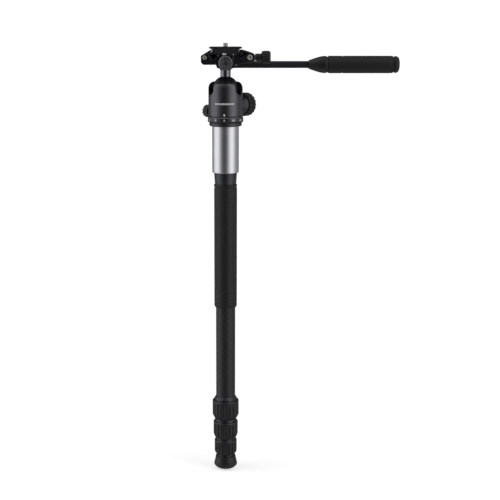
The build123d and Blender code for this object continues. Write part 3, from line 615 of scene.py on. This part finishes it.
def scale_marks(wide, low, high, looks):
    """Printed ticks every five degrees and a number every thirty, on the ring's sloping face."""
    foot_height = low + 2.5
    slope = 0.55 / (high - 0.3 - foot_height)

    def place(azimuth, x, height):
        radius = wide - slope * max(0.0, height - foot_height) + PAINT
        turned = azimuth + degrees(x / radius)
        return outward(turned) * radius + UP * height

    ticks, half, top = [], 0.14, high - 0.4
    for step in range(72):
        foot = top - (1.5 if step % 6 == 0 else 0.8)
        corners = ((-half, foot), (half, foot), (half, top), (-half, top))
        ticks.append([place(HOUSING_YAW + step * 5, x, height) for x, height in corners])
    printed("scale_ticks", ticks, "leg_section_1", looks)
    for step in range(12):
        vertices, faces = number_outline(str(step * 30), 3.2)
        azimuth = HOUSING_YAW - step * 30
        placed = [place(azimuth, x, low + 2.2 + z) for x, z in vertices]
        number = mesh_object(f"scale_number_{step * 30}", placed, faces, 80)
        finish_piece(number, "leg_section_1", "white_plastic", looks["print"])


def number_outline(text, size):
    """The faces of a number, centred, as points (x, z) in millimetres."""
    curve = bpy.data.curves.new("number", "FONT")
    curve.body, curve.size, curve.align_x = text, size, "CENTER"
    curve.offset, curve.resolution_u = 0.1, 3
    letters = bpy.data.objects.new("number", curve)
    bpy.context.scene.collection.objects.link(letters)
    bpy.context.view_layer.update()
    mesh = bpy.data.meshes.new_from_object(letters.evaluated_get(bpy.context.evaluated_depsgraph_get()))
    vertices = [(v.co.x, v.co.y) for v in mesh.vertices]
    faces = [tuple(polygon.vertices) for polygon in mesh.polygons]
    bpy.data.objects.remove(letters)
    bpy.data.curves.remove(curve)
    bpy.data.meshes.remove(mesh)
    return vertices, faces


# ---------------------------------------------------------------- ball housing
def housing(looks):
    """The turned housing, with the two stem notches cut out and every edge rounded."""
    low, high = span("housing")
    radius, bottom, top = HOUSING_RADIUS, low.z, high.z
    socket, mouth, bore = 17.3, 14.45, 12.3
    shoulder = [(radius, 520.5), (22.35, 522.4), (22.05, 524.3), (21.5, 525.9), (20.75, 527.3),
                (19.8, 528.5), (18.7, 529.4), (17.4, 530.0)]
    lip = [(16.0, top), (mouth + 0.5, top), (mouth, top - 0.6)]
    inner = arc((0, BALL_HEIGHT), socket, degrees(asin((top - 0.8 - BALL_HEIGHT) / socket)), 0, 6)
    outline = [(bore, bottom), (radius - 0.4, bottom), (radius, bottom + 0.4)] + [
        (radius, bottom + 4 + 6.2 * i) for i in range(5)
    ] + shoulder + lip + inner + [(18.6, BALL_HEIGHT - 0.1), (18.6, 504.7), (bore, 504.7)]
    shell = lathe("housing_turned", outline, sides=192)
    for side in (-1, 1):
        cutter = notch_cutter(HOUSING_YAW + side * NOTCH_ANGLE)
        cut = shell.modifiers.new("notch", "BOOLEAN")
        cut.operation, cut.object, cut.solver = "DIFFERENCE", cutter, "EXACT"
    bpy.context.view_layer.update()
    mesh = bpy.data.meshes.new_from_object(shell.evaluated_get(bpy.context.evaluated_depsgraph_get()))
    for modifier in list(shell.modifiers):
        bpy.data.objects.remove(modifier.object)
        shell.modifiers.remove(modifier)
    shell.data = mesh
    tidy = bmesh.new()
    tidy.from_mesh(mesh)
    bmesh.ops.remove_doubles(tidy, verts=tidy.verts, dist=0.03 * MM)
    bmesh.ops.dissolve_degenerate(tidy, edges=tidy.edges, dist=0.01 * MM)
    tidy.to_mesh(mesh)
    tidy.free()
    mesh.shade_smooth()
    mesh.set_sharp_from_angle(angle=radians(35))
    round_edges(shell, 0.45)
    finish_piece(shell, "head_housing", "housing_metal", looks["housing_metal"], "housing")


def notch_cutter(azimuth):
    """A round-bottomed slot, open at the top, that runs outwards through the housing's wall."""
    out, side = outward(azimuth), outward(azimuth + 90)
    rim = [(NOTCH_RADIUS * cos(a), NOTCH_RADIUS * sin(a))
           for a in (radians(180 + 180 * i / 28) for i in range(29))]
    rim += [(NOTCH_RADIUS, 14.0), (-NOTCH_RADIUS, 14.0)]
    vertices = [out * distance + side * x + UP * (BALL_HEIGHT + z)
                for distance in (11.0, 26.0) for x, z in rim]
    return mesh_object("notch_cutter", vertices, prism_faces(len(rim)), 30)


def housing_marks(looks):
    """The white index and a plain row of bars in place of any lettering."""
    radius, bottom = HOUSING_RADIUS + PAINT, span("housing")[0].z

    def place(x, height):
        return outward(HOUSING_YAW + degrees(x / radius)) * radius + UP * height

    index = [(-1.6, bottom + 3.6), (1.6, bottom + 3.6), (0.4, bottom + 0.6), (-0.4, bottom + 0.6)]
    printed("index_mark", [[place(*point) for point in index]], "head_housing", looks)
    count, pitch, low, high = 10, 2.55, bottom + 15.6, bottom + 17.9
    bars = []
    for bar in range(count):
        left = (bar - count / 2) * pitch + 0.35
        right = left + pitch - (0.7 if bar < count - 1 else 0.1)
        bars.append([place(left, low), place(right, low), place(right, high), place(left, high)])
    printed("housing_bars", bars, "head_housing", looks)


def ball_and_stem(looks):
    ball_radius, stem, bore, floor_height = span("ball")[1].x, STEM_RADIUS, 4.5, 526.0
    stem_foot = BALL_HEIGHT + sqrt(ball_radius**2 - stem**2)
    start = degrees(asin((stem_foot - BALL_HEIGHT) / ball_radius))
    curve = arc((0, BALL_HEIGHT), ball_radius, -90, start, 60)
    curve += [(bore, stem_foot), (bore, floor_height), (0, floor_height)]
    ball = lathe("ball_turned", curve, sides=128, closed=False)
    finish_piece(ball, "ball_and_stem", "black_metal", looks["ball"], "ball")
    top = span("clamp_body")[0].z - 0.1
    stem_curve = soften([
        (0, floor_height + 0.05), (bore - 0.02, floor_height + 0.05), (bore - 0.02, stem_foot),
        (stem, stem_foot + 0.02),
        (stem, 545.0), (7.3, 545.7), (8.4, 546.9), (9.0, top - 0.4), (9.0, top), (4.0, top),
        (4.0, 550.9), (0, 550.9),
    ], 0.5, closed=False)
    neck = lathe("stem_polished", stem_curve, sides=96, closed=False)
    finish_piece(neck, "ball_and_stem", "polished_steel", looks["polished_steel"], "ball_stem")


# ---------------------------------------------------------------- knobs
def main_knob(looks):
    core = lathe("main_knob_metal", soften([
        (0, 23.2), (7.5, 23.2), (8.2, 24.0), (13.2, 31.6), (13.2, 44.4), (12.4, 45.2), (10.2, 45.2),
        (9.7, 44.6), (3.6, 44.6), (3.1, 45.2), (0, 45.2),
    ], 0.3, closed=False), line=MAIN_LINE, closed=False)
    finish_piece(core, "main_lock", "black_metal", looks["black_metal"], "main_knob_core")
    band = soften([
        (13.22, 31.7), (14.5, 31.7), (15.6, 32.9), (15.6, 44.0), (15.1, 45.3), (13.9, 46.2),
        (12.6, 46.2), (12.6, 45.25), (13.22, 44.5),
    ], 0.6)
    relief = ribs(MAIN_RIBS, 1.4, 32.0, 46.4, ease=1.2, limit=13.7, narrow=0.8)
    rubber = lathe("main_knob_grip", divide(band, 0.8), line=MAIN_LINE, sides=MAIN_RIBS * 14,
                   shape=relief)
    finish_piece(rubber, "main_lock", "rubber", looks["rubber"], "main_knob_rubber")


def pan_knob(looks):
    outline = soften([
        (0, 15.2), (2.5, 15.2), (2.5, 23.4), (4.6, 23.4), (4.6, 27.8), (7.6, 28.4), (8.4, 29.4),
        (8.4, 38.6), (7.0, 40.0), (5.4, 40.0), (5.0, 39.5), (0, 39.5),
    ], 0.35, closed=False)
    relief = ribs(PAN_RIBS, 1.15, 29.0, 40.8, ease=1.0, limit=6.4, narrow=0.8)
    knob = lathe("pan_knob_ribbed", divide(outline, 0.7, closed=False), line=PAN_LINE,
                 sides=PAN_RIBS * 14, shape=relief, closed=False)
    finish_piece(knob, "pan_lock", "black_plastic", looks["black_plastic"], "pan_knob")


def clamp_knob(looks):
    low, high = span("clamp_knob")
    radius, start, end = (high.z - low.z) / 2 + 0.02, low.x, high.x
    outline = soften([
        (0, start), (radius - 2.0, start), (radius - 0.6, start + 1.0), (radius, start + 2.4),
        (radius, end - 2.6), (radius - 0.9, end - 1.1), (radius - 2.4, end - 0.4),
        (radius - 3.4, end - 0.35), (radius - 3.9, end - 0.75), (0, end - 0.75),
    ], 0.5, closed=False)
    relief = ribs(CLAMP_RIBS, 0.5, start + 0.8, end - 1.0, ease=1.2, limit=radius - 1.8)
    knob = lathe("clamp_knob_ribbed", divide(outline, 0.7, closed=False), line=CLAMP_LINE,
                 sides=CLAMP_RIBS * 14, shape=relief, closed=False)
    finish_piece(knob, "jaw_knob", "black_plastic", looks["black_plastic"], "clamp_knob")
    jaw = span("clamp_jaw")[1].x
    shaft = lathe("clamp_shaft", soften([
        (0, -13.0), (2.0, -13.0), (2.5, -12.5), (2.5, jaw + 0.2), (4.85, jaw + 0.2),
        (4.85, jaw + 1.2), (4.5, jaw + 1.5), (4.5, jaw + 1.9), (4.85, jaw + 2.2), (4.85, start),
        (0, start),
    ], 0.25, closed=False), line=CLAMP_LINE, closed=False)
    finish_piece(shaft, "jaw_knob", "black_metal", looks["black_plastic"], "clamp_screw")


# ---------------------------------------------------------------- clamp and plate
def clamp(looks):
    body = cad_copy("clamp_body", "clamp_body_milled", 0.6)
    finish_piece(body, "clamp", "black_metal", looks["milled"], "clamp_body")
    jaw = cad_copy("clamp_jaw", "clamp_jaw_milled", 0.9)
    finish_piece(jaw, "jaw", "black_metal", looks["milled"], "clamp_jaw")
    for node, body_name in (("clamp_cap_screw", "clamp"), ("jaw_cap_screw", "jaw")):
        screw = cad_copy(node, f"{node}_head", 0.35)
        finish_piece(screw, body_name, "steel", looks["cap"], node)
    # painted shade: near-black sheets on the pockets' floors
    pocket_shade_sheets("body", "clamp", BODY_POCKET, looks)
    pocket_shade_sheets("jaw", "jaw", JAW_POCKET, looks)
    clamp_marks(looks)


def pocket_shade_sheets(name, body, outline, looks):
    """Thin sheets of painted shade on the floors of a part's front and back pockets, standing in for the
    shadow there.
    """
    for side, where in ((-1, "front"), (1, "back")):
        vertices = [(x, side * (POCKET_FLOOR + lift), z) for lift in (0.02, 0.22) for x, z in outline]
        sheet_of_shade = mesh_object(f"{name}_pocket_{where}", vertices, prism_faces(len(outline)), 30)
        finish_piece(sheet_of_shade, body, "black_metal", looks["shade_paint"])


def clamp_marks(looks):
    """Two small white squares on the clamp's front, above the bolt."""
    front = span("clamp_body")[0].y - PAINT
    seat = span("quick_plate")[0].z
    low, high, squares = seat - 1.6, seat + 0.7, []
    for left in (-3.95, -1.45):
        square = [(left, low), (left + 2.1, low), (left + 2.1, high), (left, high)]
        squares.append([Vector((x, front, z)) for x, z in soften(square, 0.4)])
    printed("clamp_marks", squares, "clamp", looks)


def plate(looks):
    metal = cad_copy("quick_plate", "plate_milled", 0.45)
    finish_piece(metal, "plate", "black_metal", looks["housing_metal"], "quick_plate")
    pads = cad_copy("plate_pads", "plate_pads_soft", 0.25)
    finish_piece(pads, "plate", "rubber", looks["rubber"], "plate_pads")
    top, pitch = span("quick_plate")[1].z, 1.27
    low, high = (corner.z for corner in span("camera_screw"))

    def shape(turn, distance, radius):
        if radius < 3 or distance < top or distance > high - 0.2:
            return radius
        phase = (distance / pitch - turn / (2 * pi)) % 1.0
        return radius - 0.6 * abs(phase * 2 - 1)

    curve = [(0, low + 1.6), (5.8, low + 1.6), (5.8, low), (7.1, low), (7.4, low + 0.3),
             (7.4, low + 3.3), (7.1, low + 3.6), (2.5, low + 3.6), (2.5, top + 0.1),
             (3.1, top + 0.1), (3.17, top + 0.3), (3.17, high - 0.5), (2.6, high), (0, high)]
    screw = lathe("camera_screw_threaded", divide(curve, 0.12, closed=False), sides=48, shape=shape,
                  closed=False, sharp=70)
    finish_piece(screw, "camera_bolt", "steel", looks["steel"], "camera_screw")


# ---------------------------------------------------------------- handle
# Grooves round the handle's grip: middle, twist, first and last angle
HANDLE_GROOVES = ((155.0, -9.0, -70, 70), (154.0, 9.0, 110, 250), (208.0, -12.0, -75, 45))


def handle_relief(turn, distance, radius):
    """Two long slanting grooves near the grip's start and one near its end."""
    if radius < 9:
        return radius
    cut = 0.0
    for middle, twist, low, high in HANDLE_GROOVES:
        angle = (degrees(turn) - (low + high) / 2 + 180) % 360 - 180
        half = (high - low) / 2
        if abs(angle) < half:
            bend = middle + twist * (abs(angle) / half) ** 1.5
            ends = 1 - smooth(abs(angle), half * 0.8, half)
            cut = max(cut, 0.75 * groove(distance - bend, 2.4) * ends)
    return radius - cut


def pan_handle(looks):
    line = handle_line()
    arm = cad_copy("handle_arm", "handle_arm_milled", 0.4)
    finish_piece(arm, "handle", "black_metal", looks["black_metal"], "handle_arm")

    low, high = span("handle_ferrule")
    start, end = low.x, high.x
    cone = [
        (HANDLE_BORE, start), (5.5, start), (6.4, start + 2.4), (8.4, start + 8.2),
        (9.9, start + 12.9), (10.7, start + 16.2), (11.1, start + 19.0), (11.3, start + 21.0),
        (11.3, start + 23.2), (10.4, start + 23.9), (10.4, end), (HANDLE_BORE, end),
    ]
    ferrule = lathe("handle_ferrule_turned", soften(cone, 0.7), line=line, sides=128)
    finish_piece(ferrule, "handle", "black_plastic", looks["black_plastic"], "handle_ferrule")

    low, high = span("handle_grip")
    radius, start, end = (high.z - low.z) / 2, low.x, high.x
    outline = divide(soften([
        (HANDLE_BORE, start), (radius - 0.8, start), (radius, start + 0.8), (radius, end - 4.6),
        (radius - 0.35, end - 4.1), (radius - 0.35, end - 3.5), (radius, end - 3.0),
        (radius, end - 0.8), (radius - 0.8, end), (HANDLE_BORE, end),
    ], 0.5), 0.6)
    grip = lathe("handle_grip_relief", outline, line=line, sides=180, shape=handle_relief, sharp=60)
    finish_piece(grip, "handle", "rubber", looks["grip"], "handle_grip")

    start, end = end, span("handle_end_cap")[1].x
    dome = [(0, start - 4), (4.85, start - 4), (4.85, start), (10.0, start), (10.0, start + 1.3),
            (11.1, start + 2.0), (11.1, end - 5.0), (10.5, end - 3.0), (9.1, end - 1.5),
            (7.0, end - 0.6), (4.0, end - 0.12), (0, end)]
    cap = lathe("handle_cap_domed", soften(dome, 0.7, closed=False), line=line, sides=96, closed=False)
    finish_piece(cap, "handle", "rubber", looks["grip"], "handle_end_cap")


def handle_bolt(looks):
    """The front disc, the grey bolt head in it and the nut behind the arm."""
    low, high = span("handle_disc")
    back, front = -high.y, -low.y
    disc = lathe("handle_disc_turned", soften([
        (3.0, back), (8.6, back), (9.0, back + 0.4), (9.0, front - 1.0), (8.1, front), (6.5, front),
        (6.4, front - 0.2), (6.4, back + 3.0), (3.0, back + 3.0),
    ], 0.3), line=BOLT_LINE)
    finish_piece(disc, "handle_lock", "silver_plastic", looks["disc"], "handle_disc")
    bolt = cad_copy("handle_bolt", "handle_bolt_bright", 0.3)
    finish_piece(bolt, "handle_lock", "steel", looks["bolt"], "handle_bolt")
    nut = cad_copy("handle_nut", "handle_nut_bright", 0.5)
    finish_piece(nut, "handle", "steel", looks["steel"], "handle_nut")
    arm = span("handle_arm")[0].y
    pin = lathe("handle_stop_pin", soften([
        (0, -arm - 1.0), (1.2, -arm - 1.0), (1.2, -arm + 1.1), (0.9, -arm + 1.5), (0, -arm + 1.5),
    ], 0.2, closed=False), line=PIN_LINE, sides=32, closed=False)
    finish_piece(pin, "handle", "steel", looks["steel"])


# ---------------------------------------------------------------- floor, light and camera
def studio_floor():
    """A pale sweep under the foot, seen by the camera and left out of reflections."""
    size = 30.0
    mesh = bpy.data.meshes.new("floor")
    mesh.from_pydata([(-size, -size, 0), (size, -size, 0), (size, size, 0), (-size, size, 0)], [],
                     [(0, 1, 2, 3)])
    ground = bpy.data.objects.new("floor", mesh)
    bpy.context.scene.collection.objects.link(ground)
    graph = Graph("floor_pale")
    graph.set(
        Base_Color=graph.tint(graph.noise(400), (0.8, 0.8, 0.8), (0.82, 0.82, 0.82)),
        Roughness=0.9, Specular_IOR_Level=0.1, Emission_Color=(1, 1, 1, 1), Emission_Strength=0.62,
    )
    mesh.materials.append(graph.material)
    ground.visible_glossy = ground.visible_diffuse = ground.visible_shadow = False


def studio_world():
    """Two tall soft lights left and right of the camera, and a grey room round them."""
    world = bpy.data.worlds.new("studio")
    world.use_nodes = True
    bpy.context.scene.world = world
    nodes, links = world.node_tree.nodes, world.node_tree.links
    room = nodes["Background"]
    place = nodes.new("ShaderNodeTexCoord").outputs["Generated"]
    split = nodes.new("ShaderNodeSeparateXYZ")
    links.new(place, split.inputs[0])

    def math(operation, *values):
        node = nodes.new("ShaderNodeMath")
        node.operation = operation
        for i, value in enumerate(values):
            if isinstance(value, bpy.types.NodeSocket):
                links.new(value, node.inputs[i])
            else:
                node.inputs[i].default_value = value
        return node.outputs[0]

    def span_map(value, low, high, first, second):
        node = nodes.new("ShaderNodeMapRange")
        node.interpolation_type = "SMOOTHSTEP"
        links.new(value, node.inputs["Value"])
        for key, setting in (("From Min", low), ("From Max", high), ("To Min", first),
                             ("To Max", second)):
            node.inputs[key].default_value = setting
        return node.outputs["Result"]

    azimuth = math("ARCTAN2", split.outputs["X"], math("MULTIPLY", split.outputs["Y"], -1.0))
    share = math("ADD", math("DIVIDE", azimuth, 2 * pi), 0.5)
    ramp = nodes.new("ShaderNodeValToRGB")
    links.new(share, ramp.inputs["Fac"])
    ramp.color_ramp.interpolation = "EASE"
    levels = ((-180, 0.25), (-140, 0.12), (-120, 0.35), (-104, 1.1), (-66, 1.15), (-48, 0.5),
              (-34, 0.13), (-16, 0.035), (4, 0.035), (18, 0.18), (34, 0.8), (46, 1.2), (68, 1.2),
              (84, 0.5), (104, 0.25), (125, 0.32), (150, 0.25), (180, 0.25))
    elements = ramp.color_ramp.elements
    while len(elements) < len(levels):
        elements.new(0.5)
    for element, (turn, level) in zip(elements, levels):
        element.position = turn / 360 + 0.5
        element.color = (level, level, level * 1.01, 1)
    upper = span_map(split.outputs["Z"], 0.2, 0.7, 0.0, 0.28)
    lower = span_map(split.outputs["Z"], -0.6, -0.95, 0.0, 0.45)
    fade = span_map(split.outputs["Z"], -0.45, -0.85, 1.0, 0.15)
    dim = nodes.new("ShaderNodeMix")
    dim.data_type, dim.blend_type = "RGBA", "MULTIPLY"
    dim.inputs["Factor"].default_value = 1.0
    links.new(ramp.outputs["Color"], dim.inputs["A"])
    links.new(fade, dim.inputs["B"])
    bounce = nodes.new("ShaderNodeMix")
    bounce.data_type, bounce.blend_type = "RGBA", "LIGHTEN"
    bounce.inputs["Factor"].default_value = 1.0
    links.new(dim.outputs["Result"], bounce.inputs["A"])
    links.new(math("MAXIMUM", upper, lower), bounce.inputs["B"])
    links.new(bounce.outputs["Result"], room.inputs["Color"])
    room.inputs["Strength"].default_value = 1.0
    page = nodes.new("ShaderNodeBackground")
    page.inputs["Color"].default_value = (1, 1, 1, 1)
    page.inputs["Strength"].default_value = 1.05
    choose = nodes.new("ShaderNodeMixShader")
    links.new(nodes.new("ShaderNodeLightPath").outputs["Is Camera Ray"], choose.inputs["Fac"])
    links.new(room.outputs["Background"], choose.inputs[1])
    links.new(page.outputs["Background"], choose.inputs[2])
    links.new(choose.outputs["Shader"], nodes["World Output"].inputs["Surface"])


def studio_camera():
    """A long lens a little above the head, looking slightly down."""
    data = bpy.data.cameras.new("camera")
    data.lens, data.sensor_width = 81.65, 36.0
    data.clip_start, data.clip_end = 0.05, 100
    camera = bpy.data.objects.new("camera", data)
    camera.location = (0.003, -1.492, 0.589)
    data.shift_x = 0.0443
    camera.rotation_euler = (radians(90 - 10.7), 0, 0)
    bpy.context.scene.collection.objects.link(camera)
    bpy.context.scene.camera = camera
    bpy.context.scene.view_settings.view_transform = "Standard"


# ---------------------------------------------------------------- the object
def finishes():
    """Every material, by the name that the pieces use."""
    return {
        "rubber": rubber_material(),
        "grip": foam_material(),
        "black_metal": blasted_material(),
        "housing_metal": housing_material(),
        "silver_metal": satin_material(),
        "polished_steel": steel_material("polished_steel", (0.21, 0.21, 0.222), 0.1),
        "milled": milled_material(),
        # painted shade for the clamp's pocket floors
        "shade_paint": pocket_shade_material(),
        "cap": cap_material(),
        "bolt": steel_material("bolt_grey", (0.3, 0.3, 0.31), 0.28),
        "steel": steel_material("machined_steel", (0.72, 0.71, 0.68), 0.24),
        "brass": steel_material("warm_brass", (0.72, 0.55, 0.26), 0.3),
        "ball": grained("ball_black", (0.006, 0.006, 0.008), 0.4, 0.2, 0.08, mottle=0.1),
        "disc": grained("disc_grey", (0.2, 0.2, 0.215), 0.34, 0.16, 0.12, mottle=0.08, Metallic=0.9),
        "black_plastic": plastic_material("black_plastic", (0.012, 0.012, 0.0135), 0.42),
        "white_plastic": plastic_material("white_plastic", (0.7, 0.7, 0.68), 0.45),
        "carbon": carbon_material(),
        "print": paint_material(),
    }


def dress_cad_nodes(looks):
    """Give the inner CAD nodes that are still shown their own materials."""
    slots = {
        "guide_shims_2": "white_plastic", "guide_shims_3": "white_plastic",
        "guide_shims_4": "white_plastic", "lock_collet_1": "black_plastic",
        "lock_collet_2": "black_plastic", "lock_collet_3": "black_plastic",
        "foot_plug": "black_metal", "foot_stud": "steel", "collar_core": "black_metal",
        "head_stud": "steel", "pan_washer": "white_plastic", "pan_shoe": "brass",
        "main_spindle": "steel", "wedge_plunger": "brass", "ball_cup": "black_plastic",
        "jaw_guide_pins": "steel", "plate_stop_screws": "steel",
    }
    for node, look in slots.items():
        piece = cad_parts[node]
        piece.data.materials.clear()
        piece.data.materials.append(looks[look])


def build():
    looks = finishes()
    for number, body in enumerate(("leg_section_1", "leg_section_2", "leg_section_3", "foot_section"), 1):
        leg_tube(number, body, looks["carbon"])
    for number in (1, 2, 3):
        twist_lock(number, f"leg_section_{number}", looks)
    foot(looks)
    hand_grip(looks)
    neck_and_collar(looks)
    pan_base(looks)
    housing(looks)
    housing_marks(looks)
    ball_and_stem(looks)
    main_knob(looks)
    pan_knob(looks)
    clamp_knob(looks)
    clamp(looks)
    plate(looks)
    pan_handle(looks)
    handle_bolt(looks)
    dress_cad_nodes(looks)


studio_camera()
studio_world()
studio_floor()
build()
